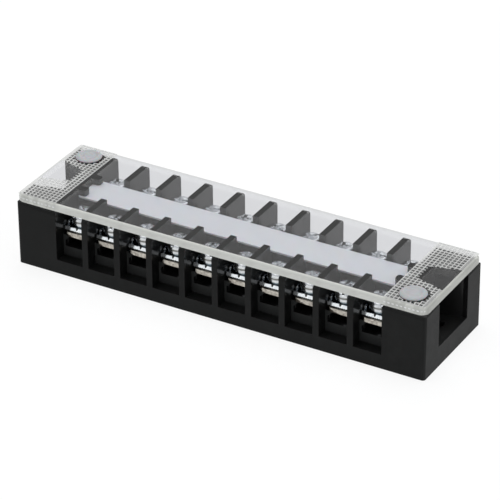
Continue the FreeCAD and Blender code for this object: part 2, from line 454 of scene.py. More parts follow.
@dataclass
class Surface:
    """A material in the making, with one Principled BSDF at its output."""

    name: str
    material: bpy.types.Material = field(init=False)
    graph: Graph = field(init=False)
    shader: bpy.types.Node = field(init=False)
    shine: Signal = field(init=False)
    output: bpy.types.Node = field(init=False)

    def __post_init__(self) -> None:
        """Makes the material, its shader and its output."""
        self.material = bpy.data.materials.new(self.name)
        self.material.use_nodes = True
        self.material.node_tree.nodes.clear()
        self.graph = Graph(self.material.node_tree)
        self.shader = self.graph.add("ShaderNodeBsdfPrincipled")
        self.shine = Signal(self.graph, self.shader.outputs["BSDF"])
        self.output = self.graph.add("ShaderNodeOutputMaterial", {"Surface": self.shine})

    def give(self, **values: object) -> None:
        """Sets or joins inputs of the shader, named with underscores for spaces."""
        for name, value in values.items():
            self.graph.feed(self.shader.inputs[name.replace("_", " ")], value)

    def cover(self, made: Signals, tone: Signal | None = None) -> bpy.types.Material:
        """Takes an effect's outputs into the shader.

        Args:
            made: the outputs.
            tone: goes in place of the effect's tone.

        Returns:
            The material.
        """
        self.give(Base_Color=tone or made["Tone"], Roughness=made["Roughness"],
                  Normal=made["Normal"])
        return self.material


@dataclass(frozen=True)
class MouldedPlastic:
    """Opaque or milky moulded plastic with a grained skin."""

    name: str
    dark: Colour
    light: Colour
    roughness: float
    spread: float
    grain: float
    wear: float
    subsurface: float
    specular: float = 0.5
    depth: float = 0.6 * MM
    transmission: float = 0.0
    index: float = 1.5

    def material(self) -> bpy.types.Material:
        """Makes the finish.

        Returns:
            Its material.
        """
        surface = Surface(self.name)
        surface.give(Specular_IOR_Level=self.specular, Subsurface_Weight=self.subsurface,
                     Subsurface_Scale=self.depth, Transmission_Weight=self.transmission,
                     IOR=self.index)
        return surface.cover(MOULD_SKIN.place(surface.graph, self))


@dataclass(frozen=True)
class TexturedMoulding:
    """Black moulded plastic, textured on its long sides and ends and glossy elsewhere. Its tones
    are partly painted light and shade: textured faces lighter, glossy floors and slot walls darker,
    recessed risers lighter still.
    """

    name: str
    # Tones of the textured and the glossy faces: they differ partly by finish and partly as painted
    # light and painted shade.
    satin: tuple[Colour, Colour]
    polished_shaded_tones: tuple[Colour, Colour]
    # Painted light on the recessed risers under the plates.
    sunk: Colour
    roughness: float
    spread: float
    grain: float
    wear: float
    specular: float
    coat: float
    coat_roughness: float
    end: float = 67.6 * MM
    polished_grain: float = 0.1

    def material(self) -> bpy.types.Material:
        """Makes the finish.

        Returns:
            Its material.
        """
        surface = Surface(self.name)
        graph = surface.graph
        parts = TEXTURED_FACES.place(graph, self)
        faces = parts["Textured"]
        # Painted light and shade: textured faces take the lighter tones, glossy faces the darker
        # ones, and recessed risers the painted riser light.
        dark, light = (graph.blend(parts["Sunk"], graph.blend(faces, plain, rough), self.sunk)
                       for plain, rough in zip(self.polished_shaded_tones, self.satin))
        surface.give(Specular_IOR_Level=self.specular, Coat_Roughness=self.coat_roughness,
                     Coat_Weight=faces.within(0, 1, self.coat, 0))
        return surface.cover(MOULD_SKIN.place(
            graph, self, dark=dark, light=light,
            grain=faces.within(0, 1, self.grain * self.polished_grain, self.grain)))


@dataclass(frozen=True)
class PlatedMetal:
    """Plated or bare metal with drawn lines, its flanks darkened with a painted reflection of dark
    surroundings.
    """

    name: str
    dark: Colour
    light: Colour
    stretch: tuple[float, float, float]
    roughness: float
    spread: float
    relief: float
    # Colour of the painted dark reflection on the flanks.
    flank: Colour
    flank_axes: tuple[float, float, float] = (1, 1, 0)
    flank_roughness: float = 0.0
    flank_start: float = 0.0
    flank_depth: float = 1.0
    flank_reach: float = 1.0
    # Colour that darkens a ragged lower-left patch of each plate's end faces.
    corner_darkening: Colour | None = None

    def material(self) -> bpy.types.Material:
        """Makes the finish.

        Returns:
            Its material.
        """
        surface = Surface(self.name)
        graph = surface.graph
        metal = DRAWN_METAL.place(graph, self)
        tone = metal["Tone"]
        # Darkens a ragged patch at the lower left of each plate's end faces.
        if self.corner_darkening:
            darker_corner = DARKER_PLATE_CORNER.place(graph)["Dull"]
            tone = graph.blend(darker_corner, tone, graph.blend(1.0, tone, self.corner_darkening, "MULTIPLY"))
        surface.give(Metallic=1.0)
        return surface.cover(metal, tone)


@dataclass(frozen=True)
class ClearPlastic:
    """Clear plastic sheet or moulding. Lamp light passes it unbent."""

    name: str
    tint: Colour
    index: float
    roughness: float
    haze: float
    hairs: float
    waviness: float
    clarity: float
    sheen: float = 0.5
    glints: bool = False
    rim_shade: Colour = (0.58, 0.58, 0.57, 1.0)
    passing: Colour = (0.93, 0.94, 0.94, 1.0)

    def material(self) -> bpy.types.Material:
        """Makes the finish.

        Returns:
            Its material.
        """
        surface = Surface(self.name)
        graph = surface.graph
        marks = HANDLING.place(graph, self)
        surface.give(Transmission_Weight=self.clarity, IOR=self.index,
                     Specular_Tint=(self.sheen,) * 3 + (1.0,))
        tone = graph.blend(marks["Marks"] * 0.1, self.tint, WHITE)
        if self.glints:
            rim = KNURL_GLINTS.place(graph)
            # Painted shade darkens the rim's ends, and painted glints lighten it towards white.
            shaded = graph.blend(1.0, tone, self.rim_shade, "MULTIPLY")
            tone = graph.blend(rim["Glint"], graph.blend(rim["Shade"], tone, shaded), WHITE)
        clear = graph.value("ShaderNodeLightPath", "Is Shadow Ray")
        if self.clarity < 1.0:
            inside = graph.geometry("Backfacing") * (1 - self.clarity)
            clear = graph.math("MAXIMUM", clear, inside)
        straight = graph.value("ShaderNodeBsdfTransparent", "BSDF", {"Color": self.passing})
        graph.feed(surface.output.inputs["Surface"], graph.value(
            "ShaderNodeMixShader", "Shader", {0: clear, 1: surface.shine, 2: straight}))
        return surface.cover(marks, tone)


# Textured tones, glossy tones, then the risers' painted light. The first two differ partly as
# painted light and painted shade.
BLACK_HOUSING = TexturedMoulding(
    "black_housing_plastic", ((0.0040, 0.0044, 0.0043, 1), (0.0088, 0.0093, 0.0091, 1)),
    ((0.0030, 0.0031, 0.0031, 1), (0.0060, 0.0061, 0.0061, 1)), (0.0240, 0.0250, 0.0245, 1),
    0.44, 0.12, 0.25, 0.5, 0.13, 0.45, 0.13)
LABEL_PLASTIC = MouldedPlastic("label_strip_plastic", (0.81, 0.82, 0.85, 1),
                               (0.88, 0.89, 0.92, 1), 0.45, 0.12, 0.10, 0.1, 0.2, specular=0.3)
NYLON = MouldedPlastic("natural_nylon", (0.50, 0.51, 0.53, 1), (0.62, 0.63, 0.65, 1), 0.3, 0.12,
                       0.12, 0.2, 0.35, depth=0.5 * MM, transmission=0.3, index=1.53)
CLEAR_SHEET = ClearPlastic("clear_cover_plastic", (0.66, 0.665, 0.685, 1), 1.41, 0.0, 0.03, 0.6,
                           0.15, 1.0, 0.2)
CLEAR_EDGE = ClearPlastic("clear_cover_edge", (0.73, 0.735, 0.69, 1), 1.45, 0.35, 0.12, 0.4, 0.2,
                          0.15, glints=True)
CLEAR_KNURL = ClearPlastic("clear_cover_knurl", (0.74, 0.74, 0.72, 1), 1.45, 0.3, 0.1, 0.2, 0.1,
                           0.3)
CLEAR_CELL = ClearPlastic("clear_cover_cell", (0.66, 0.66, 0.66, 1), 1.45, 0.12, 0.1, 0.2, 0.1,
                          0.92, 0.3)
CLEAR_BORDER = ClearPlastic("clear_cover_border", (0.70, 0.70, 0.68, 1), 1.45, 0.3, 0.1, 0.2, 0.1,
                            0.6)
# Plate: painted dark reflection on its flat top and under faces.
PLATE_METAL = PlatedMetal(
    "terminal_plate_metal", (0.18, 0.16, 0.14, 1), (0.66, 0.63, 0.565, 1), (1300, 1300, 1000),
    0.12, 0.16, 0.5, (0.16, 0.155, 0.14, 1), (0, 0, 1), corner_darkening=(0.10, 0.095, 0.09, 1))
# Clamp: painted bluish shade on its top and X-facing faces near the screw, under the washer and
# head.
CLAMP_METAL = PlatedMetal(
    "clamp_zinc", (0.64, 0.68, 0.71, 1), (0.93, 0.96, 0.98, 1), (900, 2600, 900), 0.08, 0.08,
    0.12, (0.26, 0.31, 0.38, 1), (1, 0, 1), flank_reach=3.1 * MM)
# Screw: painted brownish dark reflection round the side of its head.
SCREW_METAL = PlatedMetal(
    "screw_zinc", (0.46, 0.48, 0.50, 1), (0.80, 0.82, 0.83, 1), (700, 700, 2400), 0.14, 0.10,
    0.08, (0.22, 0.21, 0.185, 1), (1, 1, 0), 0.14, 15.5 * MM, 0.9 * MM)
# Washer: painted bluish dark reflection on its sides.
WASHER_METAL = PlatedMetal(
    "washer_zinc", (0.60, 0.63, 0.66, 1), (0.90, 0.93, 0.95, 1), (900, 900, 2400), 0.12, 0.10,
    0.10, (0.20, 0.25, 0.27, 1))
Finish = MouldedPlastic | TexturedMoulding | PlatedMetal | ClearPlastic


@dataclass
class Finishes:
    """Makes each material once."""

    made: dict[str, bpy.types.Material] = field(default_factory=dict)

    def get(self, finish: Finish) -> bpy.types.Material:
        """Finds a finish's material, or makes it on first use.

        Args:
            finish: the finish.

        Returns:
            Its material.
        """
        if finish.name not in self.made:
            self.made[finish.name] = finish.material()
        return self.made[finish.name]


# Meshes


def steps(count: int, start: float = 0.0, span: float = math.tau) -> list[float]:
    """Evenly spaced angles, without the last one when they go all the way round."""
    last = count if abs(span - math.tau) < 1e-9 else count - 1
    return [start + span * i / last for i in range(count)]


def arc(radius: float, x: float, y: float, count: int, start: float = 0.0, span: float = QUARTER
        ) -> list[Spot]:
    """Points on an arc about a middle, from the angle start on, counter-clockwise."""
    return [(x + radius * math.cos(a), y + radius * math.sin(a))
            for a in steps(count, start, span)]


def rectangle(left: float, front: float, right: float, back: float) -> list[Spot]:
    """Corners of a rectangle, counter-clockwise."""
    return [(left, front), (right, front), (right, back), (left, back)]


def rounded_outline(half_x: float, half_y: float, radius: float, parts: int) -> list[Spot]:
    """Rectangle about the origin with rounded corners, counter-clockwise.

    Args:
        half_x: half the length.
        half_y: half the width.
        radius: the corners' radius.
        parts: steps in each corner.

    Returns:
        The outline's points.
    """
    outline = []
    for quarter, (sx, sy) in enumerate(((1, 1), (-1, 1), (-1, -1), (1, -1))):
        outline += arc(radius, sx * (half_x - radius), sy * (half_y - radius), parts + 1,
                       quarter * QUARTER)
    return outline


def level(outline: Iterable[Spot], z: float) -> list[tuple[float, float, float]]:
    """An outline's points at one height."""
    return [(x, y, z) for x, y in outline]


@dataclass
class Shape:
    """Points in millimetres and faces of a mesh in the making."""

    points: list[Vector] = field(default_factory=list)
    faces: list[tuple[int, ...]] = field(default_factory=list)

    def loop(self, points: Iterable[Sequence[float]]) -> list[int]:
        """Adds points and gives their numbers."""
        self.points += (added := [Vector(p) for p in points])
        return list(range(len(self.points) - len(added), len(self.points)))

    def stack(self, loops: Sequence[Iterable[Sequence[float]]]) -> "Shape":
        """Adds a closed solid through loops of one length, capped at both ends.

        Args:
            loops: the loops' points, counter-clockwise seen from the last loop.

        Returns:
            The shape itself.
        """
        rings = [self.loop(points) for points in loops]
        for low, high in zip(rings, rings[1:]):
            for i in range(len(low)):
                j = (i + 1) % len(low)
                self.faces.append((low[i], low[j], high[j], high[i]))
        self.faces += [tuple(reversed(rings[0])), tuple(rings[-1])]
        return self

    def lathe(self, profile: Iterable[Spot], count: int) -> "Shape":
        """Adds a solid turned about Z, from radii and heights, the lower end first."""
        return self.stack([level(arc(r, 0, 0, count, span=math.tau), z) for r, z in profile])

    def box(self, low: Sequence[float], high: Sequence[float]) -> "Shape":
        """Adds a block between two corners and gives the shape itself."""
        outline = rectangle(*low[:2], *high[:2])
        return self.stack([level(outline, z) for z in (low[2], high[2])])

    def join(self, other: "Shape") -> None:
        """Adds another shape's points and faces.

        Args:
            other: the other shape.
        """
        start = len(self.points)
        self.points += other.points
        self.faces += [tuple(i + start for i in face) for face in other.faces]

    def mesh(self, name: str) -> bpy.types.Mesh:
        """Makes a mesh in metres.

        Args:
            name: its name.

        Returns:
            The mesh.
        """
        mesh = bpy.data.meshes.new(name)
        mesh.from_pydata([p * MM for p in self.points], [], self.faces)
        return mesh

    def thing(self, name: str) -> bpy.types.Object:
        """The shape as an object in the scene."""
        return placed(name, self.mesh(name))


def placed(name: str, data: bpy.types.ID) -> bpy.types.Object:
    """Links an object with this data to the scene.

    Args:
        name: its name.
        data: its mesh, lamp or camera.

    Returns:
        The object.
    """
    thing = bpy.data.objects.new(name, data)
    bpy.context.scene.collection.objects.link(thing)
    return thing


def settled(thing: bpy.types.Object) -> bpy.types.Mesh:
    """Takes an object's modifiers into a new mesh and removes the object.

    Args:
        thing: the object to read.

    Returns:
        The finished mesh.
    """
    bpy.context.view_layer.update()
    graph = bpy.context.evaluated_depsgraph_get()
    mesh = bpy.data.meshes.new_from_object(thing.evaluated_get(graph))
    bpy.data.objects.remove(thing)
    return mesh


def carve(thing: bpy.types.Object, tool: bpy.types.Object, operation: str = "DIFFERENCE"
          ) -> bpy.types.Object:
    """Cuts an object with another, or joins the two. The other one goes away.

    Args:
        thing: the object that changes.
        tool: the other one.
        operation: DIFFERENCE or UNION.

    Returns:
        The changed object.
    """
    modifier = thing.modifiers.new("carve", "BOOLEAN")
    modifier.operation = operation
    modifier.solver = "EXACT"
    modifier.object = tool
    name = thing.name
    mesh = settled(thing)
    bpy.data.objects.remove(tool)
    return placed(name, mesh)


def drill(thing: bpy.types.Object, radius: float, middle: Spot, low: float, high: float,
          count: int = 48) -> bpy.types.Object:
    """Cuts an upright hole.

    Args:
        thing: the object that changes.
        radius: the hole's radius.
        middle: its X and Y.
        low: the height that it starts below.
        high: the height that it ends above.
        count: steps round.

    Returns:
        The changed object.
    """
    tool = Shape().lathe([(radius, low - BEYOND), (radius, high + BEYOND)], count).thing("drill")
    tool.location = (middle[0] * MM, middle[1] * MM, 0)
    return carve(thing, tool)


def soften(thing: bpy.types.Object, width: float, angle: float, weld: bool = False) -> None:
    """Rounds sharp edges with modifiers.

    Args:
        thing: the object.
        width: the rounding in millimetres.
        angle: edges sharper than this are rounded, in degrees.
        weld: whether the mesh has split points and triangles to join first.
    """
    if weld:
        thing.modifiers.new("weld", "WELD").merge_threshold = WELD_REACH
        flat = thing.modifiers.new("flat", "DECIMATE")
        flat.decimate_type = "DISSOLVE"
        flat.angle_limit = FLAT_ANGLE
    bevel = thing.modifiers.new("edges", "BEVEL")
    bevel.limit_method = "ANGLE"
    bevel.angle_limit = math.radians(angle)
    bevel.width = width * MM
    bevel.segments = 2
    bevel.harden_normals = not weld
    bevel.use_clamp_overlap = True


def smooth(mesh: bpy.types.Mesh, angle: float) -> bpy.types.Mesh:
    """Shades a mesh smooth, with edges above an angle left sharp.

    Args:
        mesh: the mesh.
        angle: the angle in degrees.

    Returns:
        The same mesh.
    """
    mesh.shade_smooth()
    mesh.set_sharp_from_angle(angle=math.radians(angle))
    return mesh


def dress(thing: bpy.types.Object, *materials: bpy.types.Material) -> None:
    """Gives an object these materials in place of its own.

    Args:
        thing: the object.
        materials: the materials, in the order of their slots.
    """
    thing.data.materials.clear()
    for material in materials:
        thing.data.materials.append(material)


def dress_node(name: str, width: float, angle: float, material: bpy.types.Material) -> None:
    """Rounds the edges of a CAD node and dresses it.

    Args:
        name: the node.
        width: the rounding in millimetres.
        angle: edges sharper than this are rounded, in degrees.
        material: its material.
    """
    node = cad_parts[name]
    soften(node, width, angle, weld=True)
    dress(node, material)
    LOG.info("%s dressed", name)


def fixed(thing: bpy.types.Object, body: str, slot: Slot, *nodes: str) -> None:
    """Puts a piece on its body, in place of these CAD nodes.

    Args:
        thing: the piece.
        body: the body it rides on.
        slot: the record's material slot; not used.
        nodes: the CAD nodes it stands for.
    """
    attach(thing, body)
    if nodes:
        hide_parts(*nodes)
    LOG.info("%s rides on %s", thing.name, body)


# Sub-assemblies


@dataclass
class Housing:
    """The black moulding. Its shape is the CAD node's, with its edges rounded."""

    edge_round: float = 0.25

    def build(self, finishes: Finishes) -> None:
        """Rounds the edges and dresses the node."""
        dress_node("base", self.edge_round, 30, finishes.get(BLACK_HOUSING))


@dataclass
class LabelStrip:
    """The white strip in the channel."""

    edge_round: float = 0.12

    def build(self, finishes: Finishes) -> None:
        """Rounds the edges and dresses the node."""
        dress_node("label_strip", self.edge_round, 40, finishes.get(LABEL_PLASTIC))


@dataclass
class Cover:
    """Clear sheet over the housing, with squares of fine ribs at both ends."""

    half_length: float = 67.6
    half_width: float = 17.6
    low: float = 20.9
    top: float = 23.45
    corner: float = 2.5
    top_round: float = 0.9
    bottom_round: float = 0.4
    rib_pitch: float = 1.3
    rib_start: float = 54.3
    rib_count: int = 10
    rib_rows: int = 27
    rib_foot: float = 0.19
    rib_crest: float = 0.08
    rib_height: float = 0.2
    rib_sink: float = 0.1
    window_start: float = 57.9
    window_half: float = 3.65
    window_slope: float = math.tan(math.radians(16.0))
    rivet_x: float = 60.7
    rivet_y: float = -11.7
    rivet_ring: float = 4.45
    ring_shift: float = 0.35
    border: float = 66.95
    border_height: float = 0.03
    rivet_hole: float = 2.3
    near: float = 0.01
    level_slope: float = 0.97
    sharp: float = 25.0
    finishes: tuple[ClearPlastic, ...] = (CLEAR_SHEET, CLEAR_EDGE, CLEAR_KNURL, CLEAR_CELL,
                                          CLEAR_BORDER)

    def sheet(self) -> bpy.types.Object:
        """Makes the plain sheet with rounded corners and edges.

        Returns:
            The sheet.
        """
        rim = [(self.low + self.bottom_round * (1 - math.cos(a)),
                self.bottom_round * (1 - math.sin(a))) for a in steps(5, 0, QUARTER)]
        rim += [(self.top - self.top_round * (1 - math.sin(a)),
                 self.top_round * (1 - math.cos(a))) for a in steps(8, 0, QUARTER)]
        return Shape().stack([
            level(rounded_outline(self.half_length - inset, self.half_width - inset,
                                  self.corner - inset, 8), z)
            for z, inset in rim]).thing("cover_sheet")

    def rib(self, start: float, end: float, across: float, along_x: bool) -> Shape:
        """One rib with slanted sides, along X or Y.

        Args:
            start: its first end.
            end: its other end.
            across: the middle of its width.
            along_x: whether it runs along X.

        Returns:
            The rib's shape.
        """
        levels = []
        for z, half in ((self.top - self.rib_sink, self.rib_foot), (self.top, self.rib_foot),
                        (self.top + self.rib_height, self.rib_crest)):
            corners = rectangle(start, across - half, end, across + half)
            if not along_x:
                corners = [(y, x) for x, y in reversed(corners)]
            levels.append(level(corners, z))
        return Shape().stack(levels)

    def ribs(self, side: int) -> bpy.types.Object:
        """The crossed ribs of one end, without its window and rivet ring.

        Args:
            side: one at the right end, minus one at the left.

        Returns:
            The ribs as one object.
        """
        first = self.rib_start
        last = first + (self.rib_count - 1) * self.rib_pitch + self.rib_foot
        middle = (self.rib_rows - 1) / 2
        reach = middle * self.rib_pitch + self.rib_foot
        lengthways, crosswise = Shape(), Shape()
        for row in range(self.rib_rows):
            lengthways.join(self.rib(first - self.rib_foot, last,
                                     (row - middle) * self.rib_pitch, True))
        for column in range(self.rib_count):
            crosswise.join(self.rib(-reach, reach, first + column * self.rib_pitch, False))
        border = Shape().box((last, -reach, self.top - self.rib_sink),
                             (self.border, reach, self.top + self.border_height))
        for shape in (lengthways, crosswise, border):
            for point in shape.points:
                point.xy *= side
        grid = carve(lengthways.thing("ribs"), crosswise.thing("crossing"), "UNION")
        grid = carve(grid, border.thing("border"), "UNION")
        end = self.half_length + BEYOND
        wide = self.window_half + (end - self.window_start) * self.window_slope
        outline = [(side * x, side * y) for x, y in (
            (self.window_start, -self.window_half), (end, -wide), (end, wide),
            (self.window_start, self.window_half))]
        window = Shape().stack([level(outline, self.top + z) for z in (-BEYOND, BEYOND)])
        grid = carve(grid, window.thing("window"))
        return drill(grid, self.rivet_ring,
                     (side * self.rivet_x + self.ring_shift, side * self.rivet_y),
                     self.top, self.top)

    def finish(self, face: bpy.types.MeshPolygon) -> ClearPlastic:
        """Chooses the finish of a face: border, ribs, cells between them, rim or plain sheet.

        Args:
            face: a face of the finished sheet.

        Returns:
            Its finish.
        """
        x, y, z = (c / MM for c in face.center)
        past_x = abs(x) - self.half_length + self.corner
        past_y = abs(y) - self.half_width + self.corner
        reach = math.hypot(past_x, past_y) if min(past_x, past_y) > 0 else max(past_x, past_y)
        if abs(z - self.top - self.border_height) < self.near / 2:
            return CLEAR_BORDER
        if z > self.top + self.near:
            return CLEAR_KNURL
        if z > self.top - self.near and face.area < (self.rib_pitch * MM) ** 2:
            return CLEAR_CELL
        if reach > self.corner - self.top_round and abs(face.normal.z) < self.level_slope:
            return CLEAR_EDGE
        return CLEAR_SHEET

    def build(self, finishes: Finishes) -> None:
        """Makes the sheet with its ribs and holes, and dresses it.

        Args:
            finishes: the materials.
        """
        sheet = self.sheet()
        for side in (1, -1):
            sheet = carve(sheet, self.ribs(side), "UNION")
        for side in (1, -1):
            sheet = drill(sheet, self.rivet_hole, (side * self.rivet_x, side * self.rivet_y),
                          self.low, self.top)
        dress(sheet, *(finishes.get(finish) for finish in self.finishes))
        for face in sheet.data.polygons:
            face.material_index = self.finishes.index(self.finish(face))
        smooth(sheet.data, self.sharp)
        normals = sheet.modifiers.new("level", "WEIGHTED_NORMAL")
        normals.keep_sharp = True
        normals.weight = 90
        sheet.name = "cover_sheet"
        fixed(sheet, Body.COVER.value, Slot.COVER, "cover")


@dataclass
class PushRivets:
    """Two push rivets with dished heads, a pin in the dish and split, pointed shanks.

    Profiles give radius and height, the tip's from the lower end, the head's from the seat.
    """

    x: float = 60.7
    y: float = -11.7
    seat: float = 23.45
    shank: float = 2.25
    tip: float = 13.4
    split: float = 0.7
    split_top: float = 19.9
    tip_profile: tuple[Spot, ...] = ((0.3, -0.05), (1.5, 0.0), (1.9, 0.2), (2.25, 0.8))
    head_profile: tuple[Spot, ...] = (
        (2.25, 0.0), (3.88, 0.0), (4.0, 0.1), (4.0, 0.3), (3.9, 0.42), (3.55, 0.58), (3.2, 0.74),
        (2.95, 0.8), (2.7, 0.76), (2.45, 0.6), (2.15, 0.46), (1.8, 0.42), (1.5, 0.44),
        (1.3, 0.54), (1.0, 0.58), (0.3, 0.6))

    def build(self, finishes: Finishes) -> None:
        """Makes one rivet and places it at both corners.

        Args:
            finishes: the materials.
        """
        profile = [(r, start + z) for start, part in (
            (self.tip, self.tip_profile), (self.seat, self.head_profile)) for r, z in part]
        gap = Shape().box((-self.shank - BEYOND, -self.split / 2, self.tip - BEYOND),
                          (self.shank + BEYOND, self.split / 2, self.split_top))
        rivet = carve(Shape().lathe(profile, TURNED).thing("rivet"), gap.thing("gap"))
        mesh = smooth(settled(rivet), 38)
        for side, corner in ((1, "right_front"), (-1, "left_rear")):
            thing = placed("push_rivet_" + corner, mesh)
            thing.location = (side * self.x * MM, side * self.y * MM, 0)
            dress(thing, finishes.get(NYLON))
            fixed(thing, Body.COVER.value, Slot.RIVET, "cover_rivet_" + corner)


@dataclass
class Screw:
    """Pan head screw with a cross recess, a slot and a rolled thread."""

    radius: float = 3.5
    seat: float = 14.7
    height: float = 2.8
    round: float = 1.3
    chamfer: float = 0.16
    crown: tuple[Spot, ...] = ((1.2, 0.04), (0.4, 0.06))
    crown_height: float = 0.06
    edge_round: float = 0.09
    crest: float = 1.95
    root: float = 1.62
    run_in: float = 0.25
    overlap: float = 0.1
    lead: float = 0.7
    around: int = 20
    tip: float = 9.1
    recess_mouth: Spot = (2.2, 0.5)
    recess_foot: Spot = (0.62, 0.3)
    recess_depth: float = 1.6
    recess_proud: float = 0.01
    slot_half: float = 0.4
    slot_depth: float = 0.7

    def head(self) -> bpy.types.Mesh:
        """Makes the head with its recess, edges rounded.

        Returns:
            The head's mesh.
        """
        top = self.seat + self.height
        shoulder = top - self.crown_height
        profile = [(self.radius - self.chamfer, self.seat), (self.radius, self.seat + self.chamfer),
                   (self.radius, top - self.round)]
        profile += arc(self.round, self.radius - self.round, shoulder - self.round, 7)[1:]
        profile += [(r, shoulder + z) for r, z in self.crown]
        head = Shape().lathe(profile, TURNED).thing("head")
        for turn in (0, 1):
            levels = []
            for (x, y), z in ((self.recess_foot, top - self.recess_depth),
                              (self.recess_mouth, top + self.recess_proud)):
                corners = rectangle(-x, -y, x, y)
                levels.append(level([(-y, x) for x, y in corners] if turn else corners, z))
            head = carve(head, Shape().stack(levels).thing("arm"))
        slot = Shape().box((-self.radius - BEYOND, -self.slot_half, top - self.slot_depth),
                           (self.radius + BEYOND, self.slot_half, top + BEYOND))
        head = carve(head, slot.thing("slot"))
        soften(head, self.edge_round, 40)
        return settled(head)

    def shank(self) -> Shape:
        """Winds a root and a crest up together into a threaded shank.

        Returns:
            The shank's shape.
        """
        around, end = self.around, self.seat + self.overlap
        count = around * int((end - self.tip) / self.lead)
        root, crest = [], []
        for i in range(count + around + 1):
            angle = math.tau * i / around
            z = self.tip + self.lead * i / around - self.lead
            ease = min(1.0, max(0.0, (z - self.tip + self.lead) / (2 * self.lead)))
            r = self.root - self.run_in * (1 - ease)
            for line, radius, at in ((root, r, z), (crest, r + (self.crest - self.root) * ease,
                                                    z + self.lead / 2)):
                line.append((radius * math.cos(angle), radius * math.sin(angle),
                             min(max(at, self.tip), end)))
        shape = Shape()
        low, high = shape.loop(root), shape.loop(crest)
        for i in range(count):
            shape.faces.append((low[i], low[i + 1], high[i + 1], high[i]))
            shape.faces.append((high[i], high[i + 1], low[i + around + 1], low[i + around]))
        shape.faces.append(tuple(reversed(low[:around])))
        shape.faces.append(tuple(low[count:count + around]))
        return shape

    def mesh(self) -> bpy.types.Mesh:
        """Joins head and shank.

        Returns:
            The screw's mesh.
        """
        head = self.head()
        shape = Shape([vertex.co / MM for vertex in head.vertices],
                      [tuple(face.vertices) for face in head.polygons])
        shape.join(self.shank())
        return smooth(shape.mesh("pan_head_screw"), 30)


@dataclass
class Clamp:
    """Clamp plate with leaning, lipped ends, a toothed underside, nicks and two lugs."""

    half_x: float = 4.3
    half_y: float = 4.1
    low: float = 13.0
    sheet: float = 0.9
    under_round: float = 0.1
    lip: float = 0.2
    lip_flat: float = 0.1
    lip_depth: float = 0.95
    lip_round: float = 0.15
    lean: float = 0.28
    side_round: float = 0.2
    side_steps: tuple[Spot, ...] = ((0.18, 0.0), (0.06, 0.06), (0.0, 0.2))
    tooth: float = 0.2
    tooth_pitch: float = 0.62
    bore: float = 2.05
    nick: float = 0.42
    nick_inset: float = 0.52
    lug_half: float = 2.3
    lug_sheet: float = 0.7
    lug_top: float = 15.0
    lug_corner: float = 0.7
    lug_round: float = 0.12

    def section(self, floor: float, inset: float) -> list[Spot]:
        """Outline of the plate across Y.

        Args:
            floor: height of the underside.
            inset: how far the outline lies inside the full one.

        Returns:
            Y and Z of its points, counter-clockwise.
        """
        end, top, r = self.half_y - inset, self.low + self.sheet - inset, self.lip_round
        crest = end - self.lean - r
        half = [(end - self.under_round, floor), (end, floor + self.under_round)]
        half += arc(r, crest, top + self.lip - r, 6)
        half += [(crest - self.lip_flat, top + self.lip), (self.half_y - self.lip_depth, top)]
        return mirrored(half)

    def plate(self) -> bpy.types.Object:
        """Makes the flat plate with its teeth, which run from end to end.

        Returns:
            The plate.
        """
        teeth = int(2 * (self.half_x - self.side_round) / self.tooth_pitch) + 1
        stations = [(k * self.tooth_pitch / 2, self.tooth * (k % 2), 0.0) for k in range(teeth)]
        stations += [(self.half_x - off, inset, inset) for off, inset in self.side_steps]
        stations = [(-x, up, inset) for x, up, inset in reversed(stations[1:])] + stations
        return Shape().stack([[(x, y, z) for y, z in self.section(self.low + up, inset)]
                              for x, up, inset in stations]).thing("clamp")

    def lug(self, side: int) -> bpy.types.Object:
        """One turned-up lug.

        Args:
            side: one at the right, minus one at the left.

        Returns:
            The lug as an object.
        """
        inner, outer, r = self.half_x - self.lug_sheet, self.half_x, self.lug_round
        spots = [(inner, r), (inner + r, 0.0), (outer - r, 0.0), (outer, r)]
        if side < 0:
            spots = [(-x, inset) for x, inset in reversed(spots)]
        loops = []
        for x, inset in spots:
            half = [(self.lug_half - inset, self.low + self.sheet / 2)]
            half += arc(self.lug_corner - inset, self.lug_half - self.lug_corner,
                        self.lug_top - self.lug_corner, 6)
            loops.append([(x, y, z) for y, z in mirrored(half)])
        return Shape().stack(loops).thing("lug")

    def mesh(self) -> bpy.types.Mesh:
        """Gives the plate its lugs, bore and nicks.

        Returns:
            The clamp's mesh.
        """
        plate = self.plate()
        for side in (-1, 1):
            plate = carve(plate, self.lug(side), "UNION")
        nick = self.half_y - self.nick_inset
        for radius, y in ((self.bore, 0.0), (self.nick, -nick), (self.nick, nick)):
            plate = drill(plate, radius, (0, y), self.low, self.low + self.sheet, 32)
        return smooth(settled(plate), 32)


def mirrored(half: Sequence[Spot]) -> list[Spot]:
    """An outline made of these points and their mirror images."""
    return [*half, *((-y, z) for y, z in reversed(half))]


@dataclass
class SpringWasher:
    """Split spring washer of square wire."""

    inner: float = 2.06
    outer: float = 3.1
    low: float = 13.9
    high: float = 14.7
    chamfer: float = 0.14
    gap_angle: float = 11.0
    count: int = 57

    def mesh(self) -> bpy.types.Mesh:
        """Makes the ring from one side of its split to the other.

        Returns:
            The washer's mesh.
        """
        t = self.chamfer
        section = [(self.inner + t, self.low), (self.outer - t, self.low),
                   (self.outer, self.low + t), (self.outer, self.high - t),
                   (self.outer - t, self.high), (self.inner + t, self.high),
                   (self.inner, self.high - t), (self.inner, self.low + t)]
        angles = steps(self.count, math.radians(self.gap_angle / 2),
                       math.radians(360 - self.gap_angle))
        ring = Shape().stack([[(r * math.cos(a), r * math.sin(a), z) for r, z in reversed(section)]
                              for a in angles])
        return smooth(ring.mesh("spring_washer"), 50)


